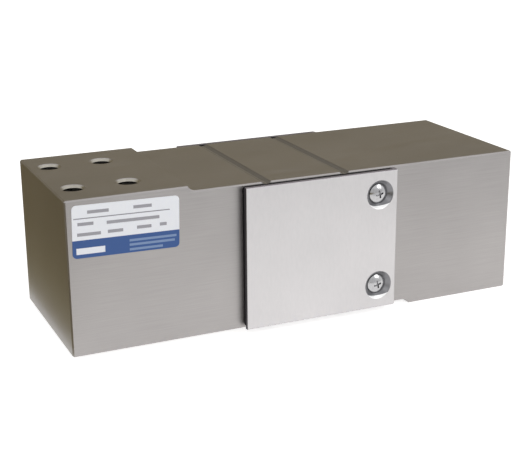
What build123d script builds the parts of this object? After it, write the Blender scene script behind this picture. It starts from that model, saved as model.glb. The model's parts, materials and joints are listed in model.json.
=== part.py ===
from build123d import *
import os
from math import cos, radians, sqrt, tan

# Single point load cell. Millimetres, +Z up, +X towards the fixed end with its cable gland,
# -Y towards the front. The origin is the centre of the four base bolts, on the base pad's face.

# Spring body: a ground block, thicker at its two mounting pads than along its waist
body_length = 171.0
body_width = 60.0
waist_height = 52.0
load_pad_length = 42.0
load_pad_rise = 1.75
base_pad_length = 42.5
base_pad_rise = 1.75
pad_step_radius = 3.0
edge_break = 0.5

# Tapped bolt holes, four in each pad
bolt_radius = 4.1
bolt_mouth_radius = 4.3
bolt_hole_depth = 18.0
bolt_end_margin = 7.0
bolt_spacing_x = 19.0
bolt_spacing_y = 30.5
drill_point_angle = 118.0
mouth_angle = 90.0

# Flexure grooves across the top and underside, in line with the window's lobes
flexure_spacing = 30.0
groove_width = 3.5
groove_depth = 0.8

# Sensing window through the body: four round lobes with flat gauge lands, and a rib between each pair
lobe_radius = 6.0
lobe_height = 14.9
land_height = 20.3
rib_height = 16.3
rib_corner_radius = 1.0

# Shallow rebate round the window at each side, and the thin diaphragm welded into it
rebate_margin = 1.2
rebate_depth = 1.0
diaphragm_thickness = 0.5
weld_clearance = 0.05

# Side covers: folded sheet that stands off the body, with a foot at its fixed end
cover_length = 59.0
cover_height = 51.0
cover_thickness = 1.5
cover_gap = 2.0
fold_outer_radius = 1.0
fold_inner_radius = 0.5
cover_edge_break = 0.2

# Cover screws, countersunk, in dishes pressed down on to the body
cover_screw_margin = 7.25
cover_screw_wall = 3.3
cover_screw_edge = 8.5
dish_radius = 5.2
dish_rim_depth = 0.15
dish_rim_run = 0.25
dish_bore_radius = 2.25
screw_head_radius = 3.75
screw_rim_height = 0.25
screw_crown_height = 0.6
screw_crown_radius = 2.4
screw_shank_radius = 1.95
screw_shank_length = 7.0
screw_seat_clearance = 0.04
screw_recess_length = 3.8
screw_recess_width = 1.0
screw_recess_depth = 1.5
screw_recess_draft = 12.0
upper_recess_turn = 12.0
lower_recess_turn = 52.0
screw_hole_radius = 2.05
screw_hole_depth = 9.0

# Dust seal strip in the slot behind a cover's three free edges
seal_width = 1.6
seal_inset = 0.25
seal_corner_radius = 1.0
seal_end_gap = 0.3

# Foil strain gauges on the window's lands
gauge_length = 4.6
gauge_width = 9.0
gauge_thickness = 0.15
gauge_tab_length = 1.2
gauge_tab_width = 1.6
gauge_tab_thickness = 0.15
gauge_tab_spacing = 4.0

# Compensation board, on two spacers at the window's fixed side
board_width = 38.0
board_height = 23.0
board_thickness = 1.2
board_corner_radius = 2.0
board_standoff = 3.0
board_hole_spacing = 31.0
board_hole_radius = 1.2
board_bore_radius = 3.5
spacer_radius = 2.1
board_screw_radius = 1.0
board_screw_hole_radius = 1.05
board_screw_hole_depth = 6.0
board_screw_grip = 4.5
board_screw_head_radius = 1.9
board_screw_head_height = 1.3
board_screw_head_chamfer = 0.3
board_screw_slot_width = 0.5
board_screw_slot_depth = 0.6
pin_width = 0.8
pin_height = 1.6
pin_shoulder_width = 1.5
pin_shoulder_height = 0.4
gauge_pin_spacing_z = 16.0
cable_pin_spacing_y = 20.0
cable_pin_spacing_z = 8.0
resistor_length = 3.2
resistor_width = 1.6
resistor_height = 0.7
resistor_spacing = 11.0

# Flat two-core lead from each gauge to its terminal pin
lead_width = 0.8
lead_thickness = 0.4
lead_bend_radius = 1.5
lead_run_height = 12.0
lead_tail = 4.0

# Cable inlet and gland at the middle of the fixed end's face
cable_bore_radius = 3.0
cable_radius = 2.75
gland_thread_radius = 6.0
gland_thread_clearance = 0.1
gland_thread_length = 9.0
gland_hole_depth = 10.0
spot_face_radius = 9.2
spot_face_depth = 0.3
face_seal_radius = 7.8
face_seal_thickness = 1.0
gland_across_flats = 14.0
gland_flange_height = 3.0
gland_barrel_radius = 5.2
gland_barrel_length = 5.8
bush_cavity_radius = 4.2
bush_cavity_floor = 1.0
bush_clearance = 0.05
bush_proud = 0.6
bush_taper = 0.5
slip_washer_thickness = 0.5
nut_clearance = 0.1
nut_start_gap = 0.8
nut_end_wall = 2.0
nut_mouth_clearance = 0.45
nut_nose_overlap = 0.2
nut_nose_radius = 6.4
nut_nose_chamfer = 1.2
hex_corner_run = 0.7

# Name label, stuck on the front face at the load end, a little out of true
label_length = 36.5
label_height = 17.8
label_thickness = 0.12
label_corner_radius = 1.5
label_from_load_end = 20.3
label_above_waist_base = 42.7
label_tilt = -1.3

# Places that follow from the sizes above
base_end_x = bolt_end_margin + bolt_spacing_x / 2
load_end_x = base_end_x - body_length
load_pattern_x = load_end_x + bolt_end_margin + bolt_spacing_x / 2
load_pad_edge_x = load_end_x + load_pad_length
base_pad_edge_x = base_end_x - base_pad_length
waist_bottom_z = base_pad_rise
waist_top_z = waist_bottom_z + waist_height
load_face_z = waist_top_z + load_pad_rise
mid_z = (waist_bottom_z + waist_top_z) / 2
window_x = (load_end_x + base_end_x) / 2
window_length = flexure_spacing + 2 * lobe_radius
window_end_x = window_x + window_length / 2
side_y = body_width / 2
load_step_run = sqrt(pad_step_radius**2 - (pad_step_radius - load_pad_rise) ** 2)
base_step_run = sqrt(pad_step_radius**2 - (pad_step_radius - base_pad_rise) ** 2)
groove_radius = ((groove_width / 2) ** 2 + groove_depth**2) / (2 * groove_depth)
groove_axis_height = waist_height / 2 - groove_depth + groove_radius
rebate_corner_radius = lobe_radius + rebate_margin
cover_standoff = cover_gap + cover_thickness
cover_screw_x = window_end_x + rebate_margin + cover_screw_wall + screw_hole_radius
cover_screw_spacing = cover_height - 2 * cover_screw_edge
cover_fixed_edge_x = cover_screw_x + cover_screw_margin
cover_load_edge_x = cover_fixed_edge_x - cover_length
cover_foot_x = cover_fixed_edge_x - cover_thickness
dish_back_radius = dish_radius - cover_thickness + cover_thickness / cos(radians(mouth_angle / 2))
dish_foot_radius = dish_back_radius - cover_gap
screw_seat_height = cover_standoff - (dish_radius - screw_head_radius) + screw_seat_clearance
screw_rim_top = screw_seat_height + screw_rim_height
screw_head_top = screw_rim_top + screw_crown_height
screw_neck_height = screw_seat_height - (screw_head_radius - screw_shank_radius)
seal_start_x = cover_load_edge_x + seal_inset
seal_length = cover_foot_x - fold_inner_radius - seal_end_gap - seal_start_x
seal_height = cover_height - 2 * seal_inset
board_face = board_standoff + board_thickness
pin_tip_x = window_end_x - board_face - pin_height
gland_flange_start = face_seal_thickness - spot_face_depth
gland_flange_end = gland_flange_start + gland_flange_height
gland_barrel_end = gland_flange_end + gland_barrel_length
bush_start = gland_flange_end + bush_cavity_floor
bush_end = gland_barrel_end + bush_proud
slip_washer_end = bush_end + slip_washer_thickness
nut_start = gland_flange_end + nut_start_gap
nut_hex_end = slip_washer_end + nut_nose_overlap
nut_end = slip_washer_end + nut_end_wall
hex_corner_radius = gland_across_flats / sqrt(3)

os.makedirs("parts", exist_ok=True)


def finish(piece, name):
    """Labels a finished piece and writes it to its own file."""
    piece.part.label = name
    export_step(piece.part, f"parts/{name}.step")


def facing_out(side, x, z, height=0.0):
    """Plane parallel to a side face, this far out from it; side is -1 at the front, +1 at the rear."""
    return Plane(origin=(x, side * (side_y + height), z), x_dir=(1, 0, 0), z_dir=(0, side, 0))


def side_section(side, x, z):
    """Horizontal plane at a side face: its X is the body's X, and its Y points out of the face."""
    return Plane(origin=(x, side * side_y, z), x_dir=(1, 0, 0), z_dir=(0, 0, side))


def tapped_hole(radius, mouth_radius, depth):
    """Blind hole with a countersunk mouth and the conical floor that a drill leaves."""
    point_height = radius / tan(radians(drill_point_angle / 2))
    CounterSinkHole(radius, mouth_radius, depth, mouth_angle)
    with Locations((0, 0, -depth)):
        Cone(0, radius, point_height, align=(Align.CENTER, Align.CENTER, Align.MAX), mode=Mode.SUBTRACT)


load_bolts = Plane(origin=(load_pattern_x, 0, load_face_z))
base_bolts = Plane(origin=(0, 0, 0), x_dir=(1, 0, 0), z_dir=(0, 0, -1))
fixed_end = Plane(origin=(base_end_x, 0, mid_z), x_dir=(0, 1, 0), z_dir=(1, 0, 0))
window_end_wall = Plane(origin=(window_end_x, 0, mid_z), x_dir=(0, -1, 0), z_dir=(-1, 0, 0))

# Spring body
with BuildPart() as spring_body:
    with BuildSketch(Plane.XZ):
        with BuildLine():
            load_step = TangentArc(
                (load_pad_edge_x + load_step_run, waist_top_z),
                (load_pad_edge_x, load_face_z),
                tangent=(-1, 0),
            )
            Polyline(
                load_step @ 1,
                (load_end_x, load_face_z),
                (load_end_x, waist_bottom_z),
                (base_pad_edge_x - base_step_run, waist_bottom_z),
            )
            base_step = TangentArc(
                (base_pad_edge_x - base_step_run, waist_bottom_z),
                (base_pad_edge_x, 0),
                tangent=(1, 0),
            )
            Polyline(
                base_step @ 1,
                (base_end_x, 0),
                (base_end_x, waist_top_z),
                load_step @ 0,
            )
        make_face()
    extrude(amount=side_y, both=True)
    outline_edges = spring_body.edges().filter_by(Axis.Y, reverse=True)
    end_edges = spring_body.edges().filter_by(Axis.Y).group_by(Axis.X)
    chamfer(outline_edges + end_edges[0] + end_edges[-1], edge_break)

    # Grooves and window are milled through after the edges are broken
    with BuildSketch(Plane.XZ):
        with Locations((window_x, mid_z)):
            with GridLocations(flexure_spacing, 2 * groove_axis_height, 2, 2):
                Circle(groove_radius)
    extrude(amount=side_y, both=True, mode=Mode.SUBTRACT)
    with BuildSketch(Plane(origin=(window_x, 0, mid_z), z_dir=(0, -1, 0), x_dir=(1, 0, 0))) as window:
        Rectangle(window_length, 2 * rib_height)
        with GridLocations(flexure_spacing, 2 * lobe_height, 2, 2):
            Circle(lobe_radius)
        Rectangle(window_length, 2 * land_height, mode=Mode.INTERSECT)
        between_lobes = window.vertices().filter_by(lambda corner: abs(corner.X) < flexure_spacing / 2)
        rib_corners = between_lobes.filter_by(lambda corner: abs(corner.Y) < land_height)
        fillet(rib_corners, rib_corner_radius)
    extrude(amount=side_y, both=True, mode=Mode.SUBTRACT)

    # Rebates for the diaphragms, and holes for the cover screws
    for side in (-1, 1):
        with BuildSketch(facing_out(side, window_x, mid_z)):
            RectangleRounded(
                window_length + 2 * rebate_margin,
                2 * (land_height + rebate_margin),
                rebate_corner_radius,
            )
        extrude(amount=-rebate_depth, mode=Mode.SUBTRACT)
        with Locations(facing_out(side, cover_screw_x, mid_z)):
            with GridLocations(0, cover_screw_spacing, 1, 2):
                Hole(screw_hole_radius, screw_hole_depth)

    # Bolt holes
    for pad in (load_bolts, base_bolts):
        with Locations(pad):
            with GridLocations(bolt_spacing_x, bolt_spacing_y, 2, 2):
                tapped_hole(bolt_radius, bolt_mouth_radius, bolt_hole_depth)

    # Cable bore from the fixed end into the window, and the board's screw holes
    with Locations(fixed_end):
        CounterBoreHole(spot_face_radius, spot_face_radius, spot_face_depth, spot_face_depth)
        CounterBoreHole(
            cable_bore_radius,
            gland_thread_radius + gland_thread_clearance,
            gland_hole_depth,
            base_end_x - window_end_x,
        )
    with Locations(window_end_wall):
        with GridLocations(board_hole_spacing, 0, 2, 1):
            Hole(board_screw_hole_radius, board_screw_hole_depth)
finish(spring_body, "spring_body")

# Side covers, with their screws and dust seals
for side, side_name in ((-1, "front"), (1, "rear")):
    with BuildPart() as cover:
        with BuildSketch(side_section(side, 0, mid_z)) as cover_section:
            with BuildLine():
                Polyline(
                    (cover_load_edge_x, cover_gap),
                    (cover_load_edge_x, cover_standoff),
                    (cover_fixed_edge_x, cover_standoff),
                    (cover_fixed_edge_x, 0),
                    (cover_foot_x, 0),
                    (cover_foot_x, cover_gap),
                    close=True,
                )
            make_face()
            fillet(
                cover_section.vertices().sort_by_distance((cover_fixed_edge_x, cover_standoff))[0],
                fold_outer_radius,
            )
            fillet(
                cover_section.vertices().sort_by_distance((cover_foot_x, cover_gap))[0],
                fold_inner_radius,
            )
        extrude(amount=cover_height / 2, both=True)
        outer_face = cover.faces().filter_by(Axis.Y).sort_by(Axis.Y)[0 if side < 0 else -1]
        free_edges = outer_face.edges().sort_by_distance(Vector(cover_fixed_edge_x, side * side_y, mid_z))
        chamfer(free_edges[1:], cover_edge_break)

        # Dishes: the sheet is pressed down to the body round each screw
        with Locations(facing_out(side, cover_screw_x, mid_z)):
            with GridLocations(0, cover_screw_spacing, 1, 2):
                Cone(
                    dish_foot_radius,
                    dish_back_radius,
                    cover_gap,
                    align=(Align.CENTER, Align.CENTER, Align.MIN),
                )
        with Locations(facing_out(side, cover_screw_x, mid_z, cover_standoff)):
            with GridLocations(0, cover_screw_spacing, 1, 2):
                CounterSinkHole(dish_bore_radius, dish_radius, counter_sink_angle=mouth_angle)
                Cone(
                    dish_radius - dish_rim_depth,
                    dish_radius + dish_rim_run,
                    dish_rim_depth,
                    align=(Align.CENTER, Align.CENTER, Align.MAX),
                    mode=Mode.SUBTRACT,
                )
    finish(cover, f"{side_name}_cover")

    # Raised countersunk screws, each turned a little differently
    for level, level_name, recess_turn in (
        (1, "upper", upper_recess_turn),
        (-1, "lower", lower_recess_turn),
    ):
        screw_z = mid_z + level * cover_screw_spacing / 2
        screw_axis = Axis((cover_screw_x, side * side_y, screw_z), (0, 1, 0))
        with BuildPart() as cover_screw:
            with BuildSketch(side_section(side, cover_screw_x, screw_z)):
                with BuildLine():
                    Polyline(
                        (0, screw_head_top),
                        (screw_crown_radius, screw_head_top),
                        (screw_head_radius, screw_rim_top),
                        (screw_head_radius, screw_seat_height),
                        (screw_shank_radius, screw_neck_height),
                        (screw_shank_radius, -screw_shank_length),
                        (0, -screw_shank_length),
                        close=True,
                    )
                make_face()
            revolve(axis=screw_axis)
            with BuildSketch(facing_out(side, cover_screw_x, screw_z, screw_head_top)):
                Rectangle(screw_recess_length, screw_recess_width, rotation=recess_turn)
                Rectangle(screw_recess_width, screw_recess_length, rotation=recess_turn)
            extrude(amount=-screw_recess_depth, taper=screw_recess_draft, mode=Mode.SUBTRACT)
        finish(cover_screw, f"{side_name}_cover_screw_{level_name}")

    # Seal strip, open towards the cover's foot
    with BuildPart() as dust_seal:
        with BuildSketch(facing_out(side, seal_start_x, mid_z)) as seal_outline:
            Rectangle(seal_length, seal_height, align=(Align.MIN, Align.CENTER))
            with Locations((seal_width, 0)):
                Rectangle(
                    seal_length,
                    seal_height - 2 * seal_width,
                    align=(Align.MIN, Align.CENTER),
                    mode=Mode.SUBTRACT,
                )
            fillet(seal_outline.vertices().group_by(Axis.X)[0], seal_corner_radius)
        extrude(amount=cover_gap)
    finish(dust_seal, f"{side_name}_dust_seal")

    # Diaphragm, welded all round on the rebate's ledge
    with BuildPart() as diaphragm:
        with BuildSketch(facing_out(side, window_x, mid_z, -rebate_depth)):
            RectangleRounded(
                window_length + 2 * (rebate_margin - weld_clearance),
                2 * (land_height + rebate_margin - weld_clearance),
                rebate_corner_radius - weld_clearance,
            )
        extrude(amount=diaphragm_thickness)
    finish(diaphragm, f"{side_name}_diaphragm")

# Strain gauges, one on each land, with two solder tabs each
for level, level_name in ((1, "top"), (-1, "bottom")):
    for end, end_name in ((-1, "load"), (1, "fixed")):
        land = Plane(
            origin=(window_x + end * flexure_spacing / 2, 0, mid_z + level * land_height),
            x_dir=(1, 0, 0),
            z_dir=(0, 0, -level),
        )
        with BuildPart() as gauge:
            with BuildSketch(land):
                Rectangle(gauge_length, gauge_width)
            extrude(amount=gauge_thickness)
            with BuildSketch(land.offset(gauge_thickness)):
                with GridLocations(0, gauge_tab_spacing, 1, 2):
                    Rectangle(gauge_tab_length, gauge_tab_width)
            extrude(amount=gauge_tab_thickness)
        finish(gauge, f"gauge_{level_name}_{end_name}_side")

# Compensation board with its spacers, screws, pins and resistors
with BuildPart() as trim_board:
    with BuildSketch(window_end_wall.offset(board_standoff)):
        RectangleRounded(board_width, board_height, board_corner_radius)
        Circle(board_bore_radius, mode=Mode.SUBTRACT)
        with GridLocations(board_hole_spacing, 0, 2, 1):
            Circle(board_hole_radius, mode=Mode.SUBTRACT)
    extrude(amount=board_thickness)
finish(trim_board, "trim_board")

for side, side_name in ((-1, "front"), (1, "rear")):
    board_screw_place = (-side * board_hole_spacing / 2, 0)
    with BuildPart() as spacer:
        with BuildSketch(window_end_wall):
            with Locations(board_screw_place):
                Circle(spacer_radius)
                Circle(board_hole_radius, mode=Mode.SUBTRACT)
        extrude(amount=board_standoff)
    finish(spacer, f"trim_board_spacer_{side_name}")

    with BuildPart() as board_screw:
        with BuildSketch(window_end_wall.offset(-board_screw_grip)):
            with Locations(board_screw_place):
                Circle(board_screw_radius)
        extrude(amount=board_screw_grip + board_face)
        with BuildSketch(window_end_wall.offset(board_face)):
            with Locations(board_screw_place):
                Circle(board_screw_head_radius)
        extrude(amount=board_screw_head_height)
        chamfer(board_screw.faces().sort_by(Axis.X)[0].edges(), board_screw_head_chamfer)
        with BuildSketch(window_end_wall.offset(board_face + board_screw_head_height)):
            with Locations(board_screw_place):
                Rectangle(2 * board_screw_head_radius, board_screw_slot_width)
        extrude(amount=-board_screw_slot_depth, mode=Mode.SUBTRACT)
    finish(board_screw, f"trim_board_screw_{side_name}")

with BuildPart() as terminal_pins:
    for pin_spacing_y, pin_spacing_z in (
        (gauge_tab_spacing, gauge_pin_spacing_z),
        (cable_pin_spacing_y, cable_pin_spacing_z),
    ):
        for width, height in ((pin_shoulder_width, pin_shoulder_height), (pin_width, pin_height)):
            with BuildSketch(window_end_wall.offset(board_face)):
                with GridLocations(pin_spacing_y, pin_spacing_z, 2, 2):
                    Rectangle(width, width)
            extrude(amount=height)
finish(terminal_pins, "terminal_pins")

with BuildPart() as trim_resistors:
    with Locations(window_end_wall.offset(board_face)):
        with GridLocations(0, resistor_spacing, 1, 2):
            Box(
                resistor_length,
                resistor_width,
                resistor_height,
                align=(Align.CENTER, Align.CENTER, Align.MIN),
            )
finish(trim_resistors, "trim_resistors")

# Leads from the gauges' tabs to the board's inner pins: straight runs joined by tangent arcs
with BuildPart() as gauge_leads:
    for level in (1, -1):
        for end in (-1, 1):
            tab_x = window_x + end * flexure_spacing / 2
            tab_y = -end * gauge_tab_spacing / 2
            tab_z = mid_z + level * (land_height - gauge_thickness - gauge_tab_thickness)
            run_z = mid_z + level * lead_run_height
            pin_z = mid_z + level * gauge_pin_spacing_z / 2
            with BuildLine() as lead_route:
                FilletPolyline(
                    (tab_x, tab_y, tab_z),
                    (tab_x, tab_y, run_z),
                    (pin_tip_x - lead_tail, tab_y, run_z),
                    (pin_tip_x - lead_tail, tab_y, pin_z),
                    (pin_tip_x, tab_y, pin_z),
                    radius=lead_bend_radius,
                )
            lead_start = Plane(origin=lead_route.line @ 0, x_dir=(0, 1, 0), z_dir=lead_route.line % 0)
            with BuildSketch(lead_start):
                Rectangle(lead_width, lead_thickness)
            sweep()
finish(gauge_leads, "gauge_leads")

# Cable gland, from the end face outwards
gland_axis = Axis((0, 0, mid_z), (1, 0, 0))
gland_section = Plane(origin=(base_end_x, 0, mid_z), x_dir=(1, 0, 0), z_dir=(0, -1, 0))


def turned(points, mode=Mode.ADD):
    """Turned form about the gland's axis, from points of distance out of the end face and radius."""
    with BuildSketch(gland_section) as half_section:
        with BuildLine():
            Polyline(*points, close=True)
        make_face()
    revolve(half_section.sketch, axis=gland_axis, mode=mode)


def hexagon(start, end):
    """Gland hexagon, with the corners at its outer end turned off."""
    with BuildSketch(fixed_end.offset(start)) as blank:
        RegularPolygon(gland_across_flats / 2, 6, major_radius=False)
    extrude(blank.sketch, amount=end - start)
    turned(
        (
            (start, 0),
            (start, hex_corner_radius),
            (end - hex_corner_run, hex_corner_radius),
            (end, gland_across_flats / 2),
            (end, 0),
        ),
        mode=Mode.INTERSECT,
    )


with BuildPart() as gland_body:
    hexagon(gland_flange_start, gland_flange_end)
    turned(
        (
            (-gland_thread_length, 0),
            (-gland_thread_length, gland_thread_radius),
            (gland_flange_start, gland_thread_radius),
            (gland_flange_start, 0),
        )
    )
    turned(
        (
            (gland_flange_end, 0),
            (gland_flange_end, gland_barrel_radius),
            (gland_barrel_end, gland_barrel_radius),
            (gland_barrel_end, 0),
        )
    )
    turned(
        (
            (-gland_thread_length, 0),
            (-gland_thread_length, cable_bore_radius),
            (bush_start, cable_bore_radius),
            (bush_start, bush_cavity_radius),
            (gland_barrel_end, bush_cavity_radius),
            (gland_barrel_end, 0),
        ),
        mode=Mode.SUBTRACT,
    )
finish(gland_body, "gland_body")

with BuildPart() as gland_face_seal:
    with BuildSketch(fixed_end.offset(-spot_face_depth)):
        Circle(face_seal_radius)
        Circle(gland_thread_radius + gland_thread_clearance, mode=Mode.SUBTRACT)
    extrude(amount=face_seal_thickness)
finish(gland_face_seal, "gland_face_seal")

with BuildPart() as gland_seal_bush:
    bush_radius = bush_cavity_radius - bush_clearance
    turned(
        (
            (bush_start, cable_radius),
            (bush_start, bush_radius),
            (bush_end - bush_taper, bush_radius),
            (bush_end, bush_radius - bush_taper),
            (bush_end, cable_radius),
        )
    )
finish(gland_seal_bush, "gland_seal_bush")

with BuildPart() as gland_slip_washer:
    with BuildSketch(fixed_end.offset(bush_end)):
        Circle(gland_barrel_radius - nut_clearance)
        Circle(cable_bore_radius + nut_clearance, mode=Mode.SUBTRACT)
    extrude(amount=slip_washer_thickness)
finish(gland_slip_washer, "gland_slip_washer")

with BuildPart() as gland_nut:
    hexagon(nut_start, nut_hex_end)
    with Locations(fixed_end.offset(nut_hex_end)):
        Cylinder(nut_nose_radius, nut_end - nut_hex_end, align=(Align.CENTER, Align.CENTER, Align.MIN))
    chamfer(gland_nut.faces().sort_by(Axis.X)[-1].edges(), nut_nose_chamfer)
    with Locations(fixed_end.offset(nut_start)):
        Cylinder(
            gland_barrel_radius + nut_clearance,
            slip_washer_end - nut_start,
            align=(Align.CENTER, Align.CENTER, Align.MIN),
            mode=Mode.SUBTRACT,
        )
    with Locations(fixed_end.offset(nut_end)):
        Hole(cable_radius + nut_mouth_clearance)
finish(gland_nut, "gland_nut")

# Name label
label_place = facing_out(-1, load_end_x + label_from_load_end, waist_bottom_z + label_above_waist_base)
with BuildPart() as name_label:
    with BuildSketch(label_place):
        RectangleRounded(label_length, label_height, label_corner_radius, rotation=label_tilt)
    extrude(amount=label_thickness)
finish(name_label, "name_label")
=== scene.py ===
import json
from math import cos, pi, radians, sin, sqrt

import bmesh
import bpy
from mathutils import Matrix, Quaternion, Vector


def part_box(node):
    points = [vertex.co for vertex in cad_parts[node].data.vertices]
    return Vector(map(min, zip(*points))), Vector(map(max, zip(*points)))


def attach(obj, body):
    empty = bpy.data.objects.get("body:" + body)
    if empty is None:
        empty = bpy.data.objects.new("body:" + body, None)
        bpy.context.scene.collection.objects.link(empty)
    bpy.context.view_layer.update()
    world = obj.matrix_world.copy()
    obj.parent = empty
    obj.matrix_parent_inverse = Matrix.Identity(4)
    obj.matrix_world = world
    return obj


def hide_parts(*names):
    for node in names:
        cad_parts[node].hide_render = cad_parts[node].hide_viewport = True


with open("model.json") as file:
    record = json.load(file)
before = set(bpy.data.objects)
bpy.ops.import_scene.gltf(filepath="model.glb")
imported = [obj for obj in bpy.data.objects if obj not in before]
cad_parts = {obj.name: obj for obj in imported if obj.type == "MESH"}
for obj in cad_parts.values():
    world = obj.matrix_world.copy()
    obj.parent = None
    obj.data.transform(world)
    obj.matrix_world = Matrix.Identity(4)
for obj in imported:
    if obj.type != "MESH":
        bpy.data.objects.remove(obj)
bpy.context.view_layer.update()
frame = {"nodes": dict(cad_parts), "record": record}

# Spring body: one block of stainless steel, milled to shape and then ground all over. The wheel leaves
# fine lines along its length, and handling leaves faint, broad stains.

steel_shade = (0.325, 0.311, 0.307, 1)
steel_light = (0.405, 0.388, 0.383, 1)
groove_painted_shade = (0.24, 0.23, 0.22, 1)
steel_roughness = (0.34, 0.46)
grinding_lines = (60, 2600, 2600)
handling_stains = (22, 22, 22)
grinding_depth = 0.000012
pad_rise = 0.00175
groove_from_middle = 0.015
groove_depth = 0.0008
groove_half_width = 0.0018


def new_material(name):
    """A new material, its node tree and its shader."""
    material = bpy.data.materials.new(name)
    material.use_nodes = True
    return material, material.node_tree, material.node_tree.nodes["Principled BSDF"]


def grain(tree, scale, detail=3.0):
    """Noise in the piece's own coordinates, at so many cells to the metre along each axis."""
    place = tree.nodes.new("ShaderNodeTexCoord")
    stretch = tree.nodes.new("ShaderNodeMapping")
    noise = tree.nodes.new("ShaderNodeTexNoise")
    stretch.inputs["Scale"].default_value = scale
    noise.inputs["Scale"].default_value = 1.0
    noise.inputs["Detail"].default_value = detail
    tree.links.new(place.outputs["Object"], stretch.inputs["Vector"])
    tree.links.new(stretch.outputs["Vector"], noise.inputs["Vector"])
    return noise.outputs["Fac"]


def spread(tree, factor, low, high):
    """Turns noise, which keeps to its middle values, into numbers from low to high."""
    scaled = tree.nodes.new("ShaderNodeMapRange")
    scaled.inputs["From Min"].default_value = 0.3
    scaled.inputs["From Max"].default_value = 0.7
    scaled.inputs["To Min"].default_value = low
    scaled.inputs["To Max"].default_value = high
    tree.links.new(factor, scaled.inputs["Value"])
    return scaled.outputs["Result"]


def blended(tree, factor, first, second):
    """Colour that goes from the first to the second with the factor; each may be a node's output."""
    mix = tree.nodes.new("ShaderNodeMix")
    mix.data_type = "RGBA"
    sockets = {socket.identifier: socket for socket in mix.inputs}
    for identifier, value in (("A_Color", first), ("B_Color", second), ("Factor_Float", factor)):
        if isinstance(value, bpy.types.NodeSocket):
            tree.links.new(value, sockets[identifier])
        else:
            sockets[identifier].default_value = value
    return next(socket for socket in mix.outputs if socket.identifier == "Result_Color")


def raise_surface(tree, shader, height, distance):
    """Bump of this many metres from a height between 0 and 1."""
    bump = tree.nodes.new("ShaderNodeBump")
    bump.inputs["Distance"].default_value = distance
    tree.links.new(height, bump.inputs["Height"])
    tree.links.new(bump.outputs["Normal"], shader.inputs["Normal"])


def grained_metal(name, shade, light, roughness, fine, broad, depth):
    """Metal with a fine grain in its gloss and relief, and broad, faint changes of colour."""
    material, tree, shader = new_material(name)
    lines = grain(tree, fine)
    stains = grain(tree, broad)
    streaked = blended(tree, spread(tree, lines, 0, 1), shade, light)
    stained = blended(tree, spread(tree, stains, 0, 1), shade, light)
    tree.links.new(blended(tree, 0.5, streaked, stained), shader.inputs["Base Color"])
    tree.links.new(spread(tree, lines, *roughness), shader.inputs["Roughness"])
    shader.inputs["Metallic"].default_value = 1.0
    raise_surface(tree, shader, lines, depth)
    return material


def finish_node(node, material):
    """Gives a solid of the frame its material."""
    mesh = frame["nodes"][node].data
    mesh.materials.clear()
    mesh.materials.append(material)


def own_axes(tree):
    """The three coordinates of a point on the piece, in metres, in the frame's axes."""
    place = tree.nodes.new("ShaderNodeTexCoord")
    parts = tree.nodes.new("ShaderNodeSeparateXYZ")
    tree.links.new(place.outputs["Object"], parts.inputs["Vector"])
    return parts.outputs


def calculated(tree, operation, first, second=0.0, third=0.0):
    """One step of arithmetic on numbers or on nodes' outputs."""
    step = tree.nodes.new("ShaderNodeMath")
    step.operation = operation
    for socket, value in zip(step.inputs, (first, second, third)):
        if isinstance(value, bpy.types.NodeSocket):
            tree.links.new(value, socket)
        else:
            socket.default_value = value
    return step.outputs[0]


def distance_from(tree, coordinate, middle):
    """How far a coordinate lies from the middle, to either side."""
    return calculated(tree, "ABSOLUTE", calculated(tree, "SUBTRACT", coordinate, middle))


def refinished(material, mask, colour, roughness):
    """Gives the material another colour and gloss where the mask is 1."""
    tree = material.node_tree
    shader = tree.nodes["Principled BSDF"]
    base = shader.inputs["Base Color"]
    gloss = shader.inputs["Roughness"]
    kept = calculated(tree, "MULTIPLY", gloss.links[0].from_socket, calculated(tree, "SUBTRACT", 1.0, mask))
    tree.links.new(blended(tree, mask, base.links[0].from_socket, colour), base)
    tree.links.new(calculated(tree, "MULTIPLY_ADD", mask, roughness, kept), gloss)


ground_steel = grained_metal(
    "ground_steel", steel_shade, steel_light, steel_roughness, grinding_lines, handling_stains, grinding_depth
)
body_low, body_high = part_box("spring_body")
body_middle = (body_low + body_high) / 2
groove_level = body_high.z - body_middle.z - pad_rise - groove_depth / 2
tree = ground_steel.node_tree
axes = own_axes(tree)
# Painted shade: the grooves across the top and bottom are coloured darker than the ground steel, and rougher.
in_groove = calculated(
    tree,
    "MULTIPLY",
    calculated(
        tree, "COMPARE", distance_from(tree, axes["X"], body_middle.x), groove_from_middle, groove_half_width
    ),
    calculated(
        tree,
        "COMPARE",
        distance_from(tree, axes["Z"], body_middle.z),
        groove_level,
        groove_depth / 2 - 0.00002,
    ),
)
refinished(ground_steel, in_groove, groove_painted_shade, 0.5)
finish_node("spring_body", ground_steel)

# Bolt threads: M8, tapped in the block's eight bolt holes, a ridge that winds down the wall. The countersunk
# cone from each mouth down to the thread is coloured lighter than the block as a painted highlight, and
# the thread is coloured nearly black as painted shade inside the holes.

thread_pitch = 0.00125
thread_turns = 12.5
thread_crest_radius = 0.0034
thread_crest_width = 0.00016
thread_steps = 40
thread_start = 0.0009
thread_bite = 0.00005
painted_shade_thread_dark = (0.05, 0.048, 0.045, 1)
painted_shade_thread_pale = (0.12, 0.114, 0.107, 1)
cone_top = 0.00015
cone_bottom = 0.00095
painted_highlight_cone_dark = (0.36, 0.34, 0.30, 1)
painted_highlight_cone_pale = (0.46, 0.44, 0.39, 1)
mounts = {mount["name"]: mount for mount in frame["record"]["mounts"]}


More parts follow.
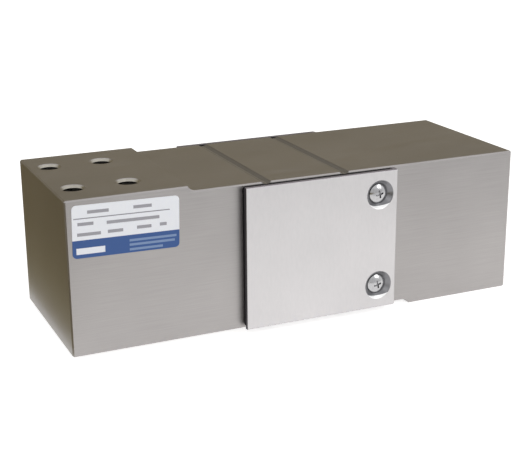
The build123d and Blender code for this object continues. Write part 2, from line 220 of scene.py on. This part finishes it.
def winding_ridge(name, pitch, turns, root_radius, crest_radius, crest_width, steps, start):
    """Ridge on the wall of a hole, winding down from the start depth: four points to each step."""
    ring = (
        (root_radius, pitch / 2),
        (crest_radius, crest_width / 2),
        (crest_radius, -crest_width / 2),
        (root_radius, -pitch / 2),
    )
    points = []
    faces = []
    count = round(turns * steps)
    for step in range(count + 1):
        turn = 2 * pi * step / steps
        depth = start + pitch * (0.5 + step / steps)
        for radius, rise in ring:
            points.append((radius * cos(turn), radius * sin(turn), rise - depth))
    for step in range(count):
        first = 4 * step
        for corner in range(4):
            following = (corner + 1) % 4
            faces.append((first + corner, first + following, first + 4 + following, first + 4 + corner))
    faces.append((3, 2, 1, 0))
    faces.append((4 * count, 4 * count + 1, 4 * count + 2, 4 * count + 3))
    mesh = bpy.data.meshes.new(name)
    mesh.from_pydata(points, [], faces)
    mesh.update()
    ridge = bpy.data.objects.new(name, mesh)
    bpy.context.scene.collection.objects.link(ridge)
    return ridge


def turned_mesh(name, outline, steps):
    """Turned form about Z, from an outline of radius and height that ends on the axis or at its start."""
    shape = bmesh.new()
    points = [shape.verts.new((radius, 0, height)) for radius, height in outline]
    edges = [shape.edges.new(pair) for pair in zip(points, points[1:])]
    bmesh.ops.spin(
        shape, geom=points + edges, cent=(0, 0, 0), axis=(0, 0, 1), angle=2 * pi, steps=steps, use_merge=True
    )
    bmesh.ops.remove_doubles(shape, verts=shape.verts, dist=0.000001)
    bmesh.ops.recalc_face_normals(shape, faces=shape.faces)
    mesh = bpy.data.meshes.new(name)
    shape.to_mesh(mesh)
    shape.free()
    return mesh


def linked(name, mesh):
    """Object for a mesh, in the scene."""
    made = bpy.data.objects.new(name, mesh)
    bpy.context.scene.collection.objects.link(made)
    return made


def new_tree(name, inputs):
    """A Geometry Nodes tree with these named inputs and one geometry output."""
    tree = bpy.data.node_groups.new(name, "GeometryNodeTree")
    for socket_name, socket_type in inputs:
        tree.interface.new_socket(name=socket_name, in_out="INPUT", socket_type=socket_type)
    tree.interface.new_socket(name="Geometry", in_out="OUTPUT", socket_type="NodeSocketGeometry")
    return tree


def pattern_tree():
    """Stands a piece on the corners of a rectangle, and then turns and moves the four."""
    tree = new_tree(
        "bolt_pattern",
        (
            ("Piece", "NodeSocketObject"),
            ("Spacing X", "NodeSocketFloat"),
            ("Spacing Y", "NodeSocketFloat"),
            ("Centre", "NodeSocketVector"),
            ("Turn", "NodeSocketVector"),
            ("Material", "NodeSocketMaterial"),
        ),
    )
    given = tree.nodes.new("NodeGroupInput").outputs
    piece = tree.nodes.new("GeometryNodeObjectInfo")
    corners = tree.nodes.new("GeometryNodeMeshGrid")
    stand = tree.nodes.new("GeometryNodeInstanceOnPoints")
    place = tree.nodes.new("GeometryNodeTransform")
    realize = tree.nodes.new("GeometryNodeRealizeInstances")
    paint = tree.nodes.new("GeometryNodeSetMaterial")
    result = tree.nodes.new("NodeGroupOutput")
    corners.inputs["Vertices X"].default_value = 2
    corners.inputs["Vertices Y"].default_value = 2
    tree.links.new(given["Piece"], piece.inputs["Object"])
    tree.links.new(given["Spacing X"], corners.inputs["Size X"])
    tree.links.new(given["Spacing Y"], corners.inputs["Size Y"])
    tree.links.new(corners.outputs["Mesh"], stand.inputs["Points"])
    tree.links.new(piece.outputs["Geometry"], stand.inputs["Instance"])
    tree.links.new(stand.outputs["Instances"], place.inputs["Geometry"])
    tree.links.new(given["Centre"], place.inputs["Translation"])
    tree.links.new(given["Turn"], place.inputs["Rotation"])
    tree.links.new(place.outputs["Geometry"], realize.inputs["Geometry"])
    tree.links.new(realize.outputs["Geometry"], paint.inputs["Geometry"])
    tree.links.new(given["Material"], paint.inputs["Material"])
    tree.links.new(paint.outputs["Geometry"], result.inputs["Geometry"])
    return tree


def grown(name, tree, values):
    """Plain mesh object that the tree makes from these values, given by the inputs' names."""
    seed = bpy.data.objects.new(name + "_seed", bpy.data.meshes.new(name + "_seed"))
    bpy.context.scene.collection.objects.link(seed)
    modifier = seed.modifiers.new("grow", "NODES")
    modifier.node_group = tree
    for socket in tree.interface.items_tree:
        if socket.in_out == "INPUT":
            modifier[socket.identifier] = values[socket.name]
    bpy.context.view_layer.update()
    evaluated = seed.evaluated_get(bpy.context.evaluated_depsgraph_get())
    piece = bpy.data.objects.new(name, bpy.data.meshes.new_from_object(evaluated))
    bpy.context.scene.collection.objects.link(piece)
    bpy.data.objects.remove(seed)
    return piece


# Painted shade: the threads are coloured nearly black, for the shade deep in each hole.
painted_shade_thread_steel = grained_metal(
    "painted_shade_thread_steel", painted_shade_thread_dark, painted_shade_thread_pale, (0.25, 0.4), (900, 900, 900), handling_stains, grinding_depth
)
# Painted highlight: the cones are coloured lighter than the block, for the bright crescent in each mouth.
painted_highlight_cone_steel = grained_metal(
    "painted_highlight_cone_steel", painted_highlight_cone_dark, painted_highlight_cone_pale, (0.3, 0.4), (900, 900, 900), handling_stains, grinding_depth
)
bolt_pattern = pattern_tree()
for mount_name, piece_name, cone_name, upside_down in (
    ("load_bolts", "load_bolt_threads", "load_bolt_countersinks", 0.0),
    ("base_bolts", "base_bolt_threads", "base_bolt_countersinks", pi),
):
    mount = mounts[mount_name]
    wall_radius = mount["dims"]["hole_r_mm"] / 1000 + thread_bite
    cone_outline = (
        (wall_radius, -cone_top),
        (wall_radius, -cone_bottom),
        (thread_crest_radius, -cone_bottom),
        (wall_radius, -cone_top),
    )
    cone = linked(cone_name + "_ring", turned_mesh(cone_name + "_ring", cone_outline, thread_steps))
    cones = grown(
        cone_name,
        bolt_pattern,
        {
            "Piece": cone,
            "Spacing X": mount["dims"]["spacing_x_mm"] / 1000,
            "Spacing Y": mount["dims"]["spacing_y_mm"] / 1000,
            "Centre": mount["pos_m"],
            "Turn": (upside_down, 0.0, 0.0),
            "Material": painted_highlight_cone_steel,
        },
    )
    bpy.data.objects.remove(cone)
    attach(cones, "root")
    thread_ridge = winding_ridge(
        piece_name + "_ridge",
        thread_pitch,
        thread_turns,
        wall_radius,
        thread_crest_radius,
        thread_crest_width,
        thread_steps,
        thread_start,
    )
    threads = grown(
        piece_name,
        bolt_pattern,
        {
            "Piece": thread_ridge,
            "Spacing X": mount["dims"]["spacing_x_mm"] / 1000,
            "Spacing Y": mount["dims"]["spacing_y_mm"] / 1000,
            "Centre": mount["pos_m"],
            "Turn": (upside_down, 0.0, 0.0),
            "Material": painted_shade_thread_steel,
        },
    )
    bpy.data.objects.remove(thread_ridge)
    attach(threads, "root")

# Diaphragms: thin rolled stainless plates, laser welded all round into a rebate at each end of the
# window. They keep damp off the gauges, and the covers hide them.

diaphragm_steel = grained_metal(
    "diaphragm_steel",
    (0.42, 0.41, 0.39, 1),
    (0.52, 0.51, 0.49, 1),
    (0.3, 0.4),
    (2200, 2200, 80),
    handling_stains,
    0.000006,
)
for node in ("front_diaphragm", "rear_diaphragm"):
    finish_node(node, diaphragm_steel)

# Strain gauges: a metal foil grid on an amber film, glued to each land with its lines along the block,
# so that they stretch with it. Two tinned tabs take the lead.

film_shade = (0.50, 0.22, 0.04, 1)
film_light = (0.62, 0.33, 0.08, 1)
foil = (0.62, 0.55, 0.45, 1)
foil_line_pitch = 0.00028

gauge_film, tree, shader = new_material("gauge_film")
along_y = own_axes(tree)["Y"]
cycle = calculated(tree, "FRACT", calculated(tree, "DIVIDE", along_y, foil_line_pitch))
on_foil = calculated(tree, "GREATER_THAN", cycle, 0.5)
amber = blended(tree, spread(tree, grain(tree, (900, 900, 900)), 0, 1), film_shade, film_light)
tree.links.new(blended(tree, on_foil, amber, foil), shader.inputs["Base Color"])
tree.links.new(on_foil, shader.inputs["Metallic"])
shader.inputs["Roughness"].default_value = 0.32
for level in ("top", "bottom"):
    for end in ("load", "fixed"):
        finish_node(f"gauge_{level}_{end}_side", gauge_film)

# Compensation board: glass epoxy with a green solder resist, on two brass spacers, held by two slotted
# screws. It carries tinned pins for the leads and the cable, and two trim resistors.

board_green = (0.02, 0.13, 0.05, 1)
board_pale = (0.03, 0.19, 0.08, 1)
trace_pitch = 0.0024


def mottled(name, shade, light, roughness, fine, depth, metallic=0.0):
    """Plain material whose colour, gloss and relief change a little from place to place."""
    material, tree, shader = new_material(name)
    specks = grain(tree, fine)
    tree.links.new(blended(tree, spread(tree, specks, 0, 1), shade, light), shader.inputs["Base Color"])
    tree.links.new(spread(tree, specks, *roughness), shader.inputs["Roughness"])
    shader.inputs["Metallic"].default_value = metallic
    raise_surface(tree, shader, specks, depth)
    return material


board_epoxy, tree, shader = new_material("board_epoxy")
along_z = own_axes(tree)["Z"]
trace = calculated(
    tree, "GREATER_THAN", calculated(tree, "FRACT", calculated(tree, "DIVIDE", along_z, trace_pitch)), 0.72
)
weave = blended(tree, spread(tree, grain(tree, (1500, 1500, 1500)), 0, 1), board_green, board_pale)
tree.links.new(blended(tree, trace, weave, (0.05, 0.26, 0.10, 1)), shader.inputs["Base Color"])
shader.inputs["Roughness"].default_value = 0.3
raise_surface(tree, shader, trace, 0.00003)
finish_node("trim_board", board_epoxy)
spacer_brass = grained_metal(
    "spacer_brass",
    (0.55, 0.40, 0.13, 1),
    (0.66, 0.50, 0.20, 1),
    (0.22, 0.34),
    (4000, 300, 300),
    (60, 60, 60),
    0.000005,
)
for node in ("trim_board_spacer_front", "trim_board_spacer_rear"):
    finish_node(node, spacer_brass)
board_screw_steel = grained_metal(
    "board_screw_steel",
    (0.46, 0.46, 0.47, 1),
    (0.58, 0.58, 0.58, 1),
    (0.24, 0.36),
    (3000, 500, 500),
    (80, 80, 80),
    0.000005,
)
for node in ("trim_board_screw_front", "trim_board_screw_rear"):
    finish_node(node, board_screw_steel)
pin_tin = mottled(
    "pin_tin", (0.58, 0.57, 0.54, 1), (0.70, 0.69, 0.66, 1), (0.25, 0.45), (1600, 1600, 1600), 0.00001, 1.0
)
finish_node("terminal_pins", pin_tin)
resistor_ceramic = mottled(
    "resistor_ceramic",
    (0.015, 0.015, 0.015, 1),
    (0.05, 0.05, 0.05, 1),
    (0.35, 0.5),
    (2500, 2500, 2500),
    0.000004,
)
finish_node("trim_resistors", resistor_ceramic)

# Gauge leads: flat two-core leads with a satin red sleeve, from each gauge's tabs to the board's pins.

lead_insulation = mottled(
    "lead_insulation", (0.36, 0.03, 0.02, 1), (0.48, 0.05, 0.03, 1), (0.38, 0.5), (900, 900, 900), 0.00001
)
finish_node("gauge_leads", lead_insulation)

# Cable gland: nickel plated brass, screwed into the fixed end on a rubber face seal. Its nut presses a
# nylon slip washer on a rubber bush, which grips the cable.

gland_metal = grained_metal(
    "gland_metal",
    (0.50, 0.48, 0.44, 1),
    (0.60, 0.58, 0.54, 1),
    (0.2, 0.3),
    (3000, 400, 400),
    (60, 60, 60),
    0.000006,
)
for node in ("gland_body", "gland_nut"):
    finish_node(node, gland_metal)
bush_rubber = mottled(
    "bush_rubber",
    (0.014, 0.014, 0.015, 1),
    (0.035, 0.035, 0.036, 1),
    (0.55, 0.75),
    (1400, 1400, 1400),
    0.00002,
)
for node in ("gland_face_seal", "gland_seal_bush"):
    finish_node(node, bush_rubber)
washer_nylon = mottled(
    "washer_nylon", (0.72, 0.70, 0.62, 1), (0.82, 0.80, 0.72, 1), (0.4, 0.55), (900, 900, 900), 0.00001
)
finish_node("gland_slip_washer", washer_nylon)

# Dust seals: black foam rubber strip, stuck in the slot behind the three free edges of each cover.

seal_rubber = mottled(
    "seal_rubber",
    (0.003, 0.0026, 0.0034, 1),
    (0.012, 0.010, 0.013, 1),
    (0.7, 0.9),
    (1800, 1800, 1800),
    0.00004,
)
seal_rubber.node_tree.nodes["Principled BSDF"].inputs["Specular IOR Level"].default_value = 0.1
for node in ("front_dust_seal", "rear_dust_seal"):
    finish_node(node, seal_rubber)

# Side covers: 1.5 mm aluminium sheet, folded in at the fixed end to a foot, with a faint rolling grain.
# Painted shade darkens the free edge at the load end, less so the top and bottom edges, and fills the
# two dishes; a painted highlight lightens each dish's lower lip.

load_edge_painted_shade = (0.10, 0.095, 0.105, 1)
long_edge_painted_shade = (0.30, 0.28, 0.31, 1)
dish_painted_shade = (0.20, 0.20, 0.21, 1)
lip_painted_highlight = (0.90, 0.90, 0.90, 1)
edge_shade_depth = 0.00012
dish_radius = 0.0053
lip_highlight_rise = 0.0050
lip_highlight_radius = 0.0093
cover_low, cover_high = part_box("front_cover")
screw_low, screw_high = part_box("front_cover_screw_upper")
screw_middle = (screw_low + screw_high) / 2
screw_from_middle = screw_middle.z - body_middle.z
cover_aluminium = grained_metal(
    "cover_aluminium",
    (0.55, 0.54, 0.545, 1),
    (0.62, 0.605, 0.61, 1),
    (0.40, 0.50),
    (1500, 1500, 400),
    (30, 30, 30),
    0.000006,
)
tree = cover_aluminium.node_tree
axes = own_axes(tree)
from_middle = distance_from(tree, axes["Z"], body_middle.z)
above_dish = calculated(tree, "SUBTRACT", from_middle, screw_from_middle)
beside_dish = calculated(tree, "SUBTRACT", axes["X"], screw_middle.x)
from_screw = calculated(
    tree,
    "SQRT",
    calculated(
        tree,
        "MULTIPLY_ADD",
        above_dish,
        above_dish,
        calculated(tree, "MULTIPLY", beside_dish, beside_dish),
    ),
)
below_face = calculated(
    tree, "LESS_THAN", calculated(tree, "ABSOLUTE", axes["Y"]), -cover_low.y - 0.00005
)
in_dish = calculated(tree, "MULTIPLY", calculated(tree, "LESS_THAN", from_screw, dish_radius), below_face)
at_load_edge = calculated(tree, "LESS_THAN", axes["X"], cover_low.x + edge_shade_depth)
half_height = cover_high.z - body_middle.z
at_long_edge = calculated(tree, "GREATER_THAN", from_middle, half_height - edge_shade_depth)
side_of_middle = calculated(tree, "SIGN", calculated(tree, "SUBTRACT", axes["Z"], body_middle.z))
above_screw = calculated(tree, "MULTIPLY", above_dish, side_of_middle)
above_rise = calculated(tree, "SUBTRACT", above_screw, lip_highlight_rise)
from_rise = calculated(
    tree,
    "SQRT",
    calculated(
        tree,
        "MULTIPLY_ADD",
        above_rise,
        above_rise,
        calculated(tree, "MULTIPLY", beside_dish, beside_dish),
    ),
)
at_lip = calculated(tree, "GREATER_THAN", from_rise, lip_highlight_radius)
on_lower_lip = calculated(tree, "MULTIPLY", in_dish, at_lip)
# Painted shade: each dish is coloured dark, for the shade in the hollow round the screw head.
refinished(cover_aluminium, in_dish, dish_painted_shade, 0.3)
# Painted highlight: the lower lip of each dish is coloured near white, for the light it catches from above.
refinished(cover_aluminium, on_lower_lip, lip_painted_highlight, 0.35)
# Painted shade: the cover's top and bottom edges and, darker, its free edge at the load end are coloured
# dark, for the shade in the gap beside them.
refinished(cover_aluminium, at_long_edge, long_edge_painted_shade, 0.6)
refinished(cover_aluminium, at_load_edge, load_edge_painted_shade, 0.6)
for node in ("front_cover", "rear_cover"):
    finish_node(node, cover_aluminium)

# Cover screws: M4 machine screws with a raised countersunk head and a cross recess, zinc plated bright.
# They hold the cover's pressed dishes down on the block, each turned as the driver left it.

screw_head_radius = 0.0035
screw_rim_height = 0.00184
screw_rim_top = 0.00205
screw_crown_top = 0.00325
screw_neck_height = 0.00029
screw_core_radius = 0.00165
screw_thread_radius = 0.00195
screw_end = -0.007
screw_pitch = 0.0007
screw_recess_reach = 0.0019
screw_recess_half_width = 0.0004
screw_recess_depth = 0.0011
screw_recess_taper = 0.6
round_steps = 48
crown_steps = 8


def cross_cutter(reach, half_width, top, bottom, taper):
    """Cross-shaped punch that narrows from its top to its bottom."""
    corners = []
    for quarter in range(4):
        turn = Matrix.Rotation(quarter * pi / 2, 3, "Z")
        for corner in ((reach, -half_width), (reach, half_width), (half_width, half_width)):
            corners.append(turn @ Vector((*corner, 0)))
    count = len(corners)
    points = [corner + Vector((0, 0, top)) for corner in corners]
    points += [corner * taper + Vector((0, 0, bottom)) for corner in corners]
    faces = [tuple(range(count)), tuple(range(2 * count - 1, count - 1, -1))]
    for step in range(count):
        following = (step + 1) % count
        faces.append((step, count + step, count + following, following))
    mesh = bpy.data.meshes.new("cross_punch")
    mesh.from_pydata(points, [], faces)
    mesh.update()
    return mesh


def screw_row_tree():
    """Two screws in a row, each turned by chance about its own axis, then turned and moved together."""
    tree = new_tree(
        "screw_row",
        (
            ("Piece", "NodeSocketObject"),
            ("Spacing", "NodeSocketFloat"),
            ("Centre", "NodeSocketVector"),
            ("Turn", "NodeSocketVector"),
            ("Seed", "NodeSocketInt"),
            ("Material", "NodeSocketMaterial"),
        ),
    )
    given = tree.nodes.new("NodeGroupInput").outputs
    piece = tree.nodes.new("GeometryNodeObjectInfo")
    start = tree.nodes.new("ShaderNodeCombineXYZ")
    step = tree.nodes.new("ShaderNodeCombineXYZ")
    back = tree.nodes.new("ShaderNodeMath")
    row = tree.nodes.new("GeometryNodeMeshLine")
    chance = tree.nodes.new("FunctionNodeRandomValue")
    stand = tree.nodes.new("GeometryNodeInstanceOnPoints")
    place = tree.nodes.new("GeometryNodeTransform")
    realize = tree.nodes.new("GeometryNodeRealizeInstances")
    paint = tree.nodes.new("GeometryNodeSetMaterial")
    result = tree.nodes.new("NodeGroupOutput")
    back.operation = "MULTIPLY"
    back.inputs[1].default_value = -0.5
    row.inputs["Count"].default_value = 2
    chance.data_type = "FLOAT_VECTOR"
    chance.inputs["Min"].default_value = (0, 0, 0)
    chance.inputs["Max"].default_value = (0, 0, pi / 2)
    tree.links.new(given["Piece"], piece.inputs["Object"])
    tree.links.new(given["Spacing"], back.inputs[0])
    tree.links.new(back.outputs[0], start.inputs["Y"])
    tree.links.new(given["Spacing"], step.inputs["Y"])
    tree.links.new(start.outputs["Vector"], row.inputs["Start Location"])
    tree.links.new(step.outputs["Vector"], row.inputs["Offset"])
    tree.links.new(given["Seed"], chance.inputs["Seed"])
    tree.links.new(row.outputs["Mesh"], stand.inputs["Points"])
    tree.links.new(piece.outputs["Geometry"], stand.inputs["Instance"])
    tree.links.new(chance.outputs["Value"], stand.inputs["Rotation"])
    tree.links.new(stand.outputs["Instances"], place.inputs["Geometry"])
    tree.links.new(given["Centre"], place.inputs["Translation"])
    tree.links.new(given["Turn"], place.inputs["Rotation"])
    tree.links.new(place.outputs["Geometry"], realize.inputs["Geometry"])
    tree.links.new(realize.outputs["Geometry"], paint.inputs["Geometry"])
    tree.links.new(given["Material"], paint.inputs["Material"])
    tree.links.new(paint.outputs["Geometry"], result.inputs["Geometry"])
    return tree


crown_height = screw_crown_top - screw_rim_top
crown_ball = (screw_head_radius**2 + crown_height**2) / (2 * crown_height)
screw_outline = [(0, screw_crown_top)]
for step in range(1, crown_steps + 1):
    radius = screw_head_radius * step / crown_steps
    screw_outline.append((radius, screw_crown_top - crown_ball + sqrt(crown_ball**2 - radius**2)))
screw_outline += [
    (screw_head_radius, screw_rim_height),
    (screw_thread_radius, screw_neck_height),
    (screw_core_radius, screw_neck_height - 0.0003),
    (screw_core_radius, screw_end),
    (0, screw_end),
]
screw = linked("cover_screw", turned_mesh("cover_screw", screw_outline, round_steps))
punch = linked(
    "cross_punch",
    cross_cutter(
        screw_recess_reach,
        screw_recess_half_width,
        screw_crown_top + 0.001,
        screw_crown_top - screw_recess_depth,
        screw_recess_taper,
    ),
)
recess = screw.modifiers.new("recess", "BOOLEAN")
recess.operation = "DIFFERENCE"
recess.solver = "EXACT"
recess.object = punch
bpy.context.view_layer.update()
cut_screw = bpy.data.meshes.new_from_object(screw.evaluated_get(bpy.context.evaluated_depsgraph_get()))
screw.modifiers.clear()
bpy.data.objects.remove(punch)
screw_ridge = winding_ridge(
    "cover_screw_thread",
    screw_pitch,
    8,
    screw_core_radius - 0.00005,
    screw_thread_radius,
    0.0001,
    24,
    0.0005,
)
whole_screw = bmesh.new()
whole_screw.from_mesh(screw_ridge.data)
bmesh.ops.reverse_faces(whole_screw, faces=whole_screw.faces)
whole_screw.from_mesh(cut_screw)
whole_screw.to_mesh(screw.data)
whole_screw.free()
bpy.data.objects.remove(screw_ridge)
screw.data.polygons.foreach_set("use_smooth", [True] * len(screw.data.polygons))
screw.data.set_sharp_from_angle(angle=radians(30))
screw_steel = grained_metal(
    "screw_steel",
    (0.40, 0.40, 0.41, 1),
    (0.52, 0.52, 0.53, 1),
    (0.14, 0.22),
    (900, 900, 900),
    (120, 120, 120),
    0.000004,
)
screw_row = screw_row_tree()
for side, side_name, tip in ((-1, "front", pi / 2), (1, "rear", -pi / 2)):
    screws = grown(
        side_name + "_cover_screws",
        screw_row,
        {
            "Piece": screw,
            "Spacing": 2 * screw_from_middle,
            "Centre": (screw_middle.x, side * body_high.y, body_middle.z),
            "Turn": (tip, 0.0, 0.0),
            "Seed": 5 + side,
            "Material": screw_steel,
        },
    )
    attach(screws, "root")
    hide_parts(side_name + "_cover_screw_upper", side_name + "_cover_screw_lower")
bpy.data.objects.remove(screw)

# Name label: printed polyester film, stuck on by hand, a little out of true. It has a thin rule, plain
# grey fields where a maker fills in data, and a blue band at its foot, with no words on it.

label_tilt = radians(-1.3)
label_white = (0.90, 0.93, 1.0, 1)
label_grey = (0.36, 0.36, 0.40, 1)
label_rule = (0.27, 0.27, 0.31, 1)
band_pale = (0.20, 0.30, 0.52, 1)
label_blue = (0.026, 0.092, 0.305, 1)
label_low, label_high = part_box("name_label")
label_centre = (label_low + label_high) / 2
name_label, tree, shader = new_material("label_film")
place = tree.nodes.new("ShaderNodeTexCoord")
untilt = tree.nodes.new("ShaderNodeVectorRotate")
untilt.rotation_type = "Y_AXIS"
untilt.inputs["Center"].default_value = label_centre
untilt.inputs["Angle"].default_value = label_tilt
tree.links.new(place.outputs["Object"], untilt.inputs["Vector"])
on_label = tree.nodes.new("ShaderNodeSeparateXYZ")
tree.links.new(untilt.outputs["Vector"], on_label.inputs["Vector"])
across = calculated(tree, "SUBTRACT", on_label.outputs["X"], label_centre.x)
upward = calculated(tree, "SUBTRACT", on_label.outputs["Z"], label_centre.z)


def printed(colour, ink, left, right, bottom, top):
    """Prints a rectangle over what is there, by millimetres from the label's centre."""
    middle_x, middle_z = (left + right) / 2000, (bottom + top) / 2000
    inside_x = calculated(tree, "COMPARE", across, middle_x, (right - left) / 2000)
    inside_z = calculated(tree, "COMPARE", upward, middle_z, (top - bottom) / 2000)
    return blended(tree, calculated(tree, "MULTIPLY", inside_x, inside_z), colour, ink)


paper = blended(tree, spread(tree, grain(tree, (500, 500, 500)), 0, 1), label_white, (0.92, 0.95, 1.0, 1))
printing = printed(paper, label_rule, -17.7, 14.9, 4.25, 4.6)
for left, right, middle in (
    (-13.1, -5.9, 6.4),
    (2.4, 8.7, 6.5),
    (-16.4, -11.1, 2.55),
    (-6.7, 11.3, 2.3),
    (-16.6, -8.7, -0.95),
    (-6.4, -1.2, -0.8),
    (3.5, 8.5, -0.5),
    (11.4, 13.8, -0.3),
):
    printing = printed(printing, label_grey, left, right, middle - 0.55, middle + 0.55)
printing = printed(printing, label_blue, -18.3, 18.3, -9.0, -2.85)
printing = printed(printing, label_white, -17.0, -7.4, -7.6, -5.5)
for left, right, middle in ((0.9, 17.2, -4.7), (0.9, 16.6, -6.2), (0.9, 12.4, -7.8)):
    printing = printed(printing, band_pale, left, right, middle - 0.4, middle + 0.4)
tree.links.new(printing, shader.inputs["Base Color"])
shader.inputs["Roughness"].default_value = 0.35
finish_node("name_label", name_label)

# Studio: a pale floor, a large soft lamp in front and to the right, and a dim fill. Metal sees white
# paper all round, apart from five cards: dark ones behind and at the left, pale ones in front.

floor_size = 6.0
floor_gap = 0.0001


def flat_sheet(name, corners):
    """One flat face from its corners."""
    mesh = bpy.data.meshes.new(name)
    mesh.from_pydata(corners, [], [tuple(range(len(corners)))])
    sheet = bpy.data.objects.new(name, mesh)
    bpy.context.scene.collection.objects.link(sheet)
    return sheet


def seen_by_eye(tree):
    """1 for what the camera, a reflection or a clear piece shows, and 0 for light on the object."""
    path = tree.nodes.new("ShaderNodeLightPath")
    eye = calculated(tree, "MAXIMUM", path.outputs["Is Camera Ray"], path.outputs["Is Glossy Ray"])
    return calculated(tree, "MAXIMUM", eye, path.outputs["Is Transmission Ray"])


half = floor_size / 2
floor = flat_sheet(
    "floor",
    [
        (-half, -half, -floor_gap),
        (half, -half, -floor_gap),
        (half, half, -floor_gap),
        (-half, half, -floor_gap),
    ],
)
floor_paper, tree, shader = new_material("floor_paper")
shader.inputs["Base Color"].default_value = (0.9, 0.9, 0.9, 1)
shader.inputs["Roughness"].default_value = 0.9
shader.inputs["Specular IOR Level"].default_value = 0.0
glow = tree.nodes.new("ShaderNodeEmission")
glow.inputs["Color"].default_value = (1, 1, 1, 1)
glow.inputs["Strength"].default_value = 0.7
both = tree.nodes.new("ShaderNodeAddShader")
plain = tree.nodes.new("ShaderNodeMixShader")
tree.links.new(shader.outputs["BSDF"], both.inputs[0])
tree.links.new(glow.outputs["Emission"], both.inputs[1])
tree.links.new(seen_by_eye(tree), plain.inputs["Fac"])
tree.links.new(shader.outputs["BSDF"], plain.inputs[1])
tree.links.new(both.outputs["Shader"], plain.inputs[2])
tree.links.new(plain.outputs["Shader"], tree.nodes["Material Output"].inputs["Surface"])
floor.data.materials.append(floor_paper)

world = bpy.data.worlds.new("studio")
bpy.context.scene.world = world
world.use_nodes = True
tree = world.node_tree
backdrop = tree.nodes["Background"]
backdrop.inputs["Color"].default_value = (1, 1, 1, 1)
backdrop.inputs["Strength"].default_value = 1.0
ambient = tree.nodes.new("ShaderNodeBackground")
ambient.inputs["Color"].default_value = (1.0, 0.98, 0.95, 1)
ambient.inputs["Strength"].default_value = 0.55
pick = tree.nodes.new("ShaderNodeMixShader")
tree.links.new(seen_by_eye(tree), pick.inputs["Fac"])
tree.links.new(ambient.outputs["Background"], pick.inputs[1])
tree.links.new(backdrop.outputs["Background"], pick.inputs[2])
tree.links.new(pick.outputs["Shader"], tree.nodes["World Output"].inputs["Surface"])

aim = Vector((-0.0759, -0.0095, 0.0287))
for lamp_name, place, size, power, colour in (
    ("key_lamp", (0.9, -1.5, 1.1), 0.9, 11.0, (1.0, 0.99, 0.985)),
    ("fill_lamp", (-1.3, -1.3, 0.8), 0.8, 2.0, (1.0, 0.99, 0.98)),
):
    lamp = bpy.data.lights.new(lamp_name, "AREA")
    lamp.size = size
    lamp.energy = power
    lamp.color = colour
    lamp_object = bpy.data.objects.new(lamp_name, lamp)
    lamp_object.location = place
    lamp_object.rotation_euler = (aim - Vector(place)).to_track_quat("-Z", "Y").to_euler()
    bpy.context.scene.collection.objects.link(lamp_object)

for card_name, tone, corners in (
    (
        "rear_card",
        (0.29, 0.245, 0.155, 1),
        [(-1.2, 0.9, 0.0), (1.6, 0.9, 0.0), (1.6, 0.9, 1.2), (-1.2, 0.9, 1.2)],
    ),
    (
        "left_card",
        (0.17, 0.13, 0.055, 1),
        [(-1.2, -1.2, 0), (-0.18, -1.2, 0), (-0.18, 0.9, 0), (-1.2, 0.9, 0)],
    ),
    (
        "near_card",
        (0.27, 0.22, 0.095, 1),
        [(-0.18, -1.2, 0), (-0.16, -1.2, 0), (-0.16, 0.9, 0), (-0.18, 0.9, 0)],
    ),
    (
        "apron_card",
        (0.98, 0.98, 0.98, 1),
        [(-0.16, -1.2, 0), (1.2, -1.2, 0), (1.2, -0.14, 0), (-0.16, -0.14, 0)],
    ),
    (
        "front_card",
        (0.8, 0.8, 0.8, 1),
        [(-1.5, -1.3, 0.0), (1.5, -1.3, 0.0), (1.5, -1.3, 0.8), (-1.5, -1.3, 0.8)],
    ),
):
    card_paper, tree, shader = new_material(card_name)
    card_glow = tree.nodes.new("ShaderNodeEmission")
    card_glow.inputs["Color"].default_value = tone
    tree.links.new(card_glow.outputs["Emission"], tree.nodes["Material Output"].inputs["Surface"])
    card = flat_sheet(card_name, corners)
    card.data.materials.append(card_paper)
    card.visible_camera = False
    card.visible_diffuse = False
    card.visible_shadow = False
    card.visible_transmission = False

# Camera: the photograph's own viewing place and lens

camera = bpy.data.cameras.new("camera")
camera.sensor_fit = "HORIZONTAL"
camera.sensor_width = 36.0
camera.lens = 80.54
camera.clip_start = 0.01
camera_object = bpy.data.objects.new("camera", camera)
camera_object.location = (-0.244061, -0.382865, 0.160065)
camera_roll = radians(-0.37)
sight = (aim - camera_object.location).to_track_quat("-Z", "Y")
camera_object.rotation_euler = (sight @ Quaternion((0, 0, 1), camera_roll)).to_euler()
bpy.context.scene.collection.objects.link(camera_object)
bpy.context.scene.camera = camera_object

bpy.context.scene.view_settings.view_transform = "Standard"
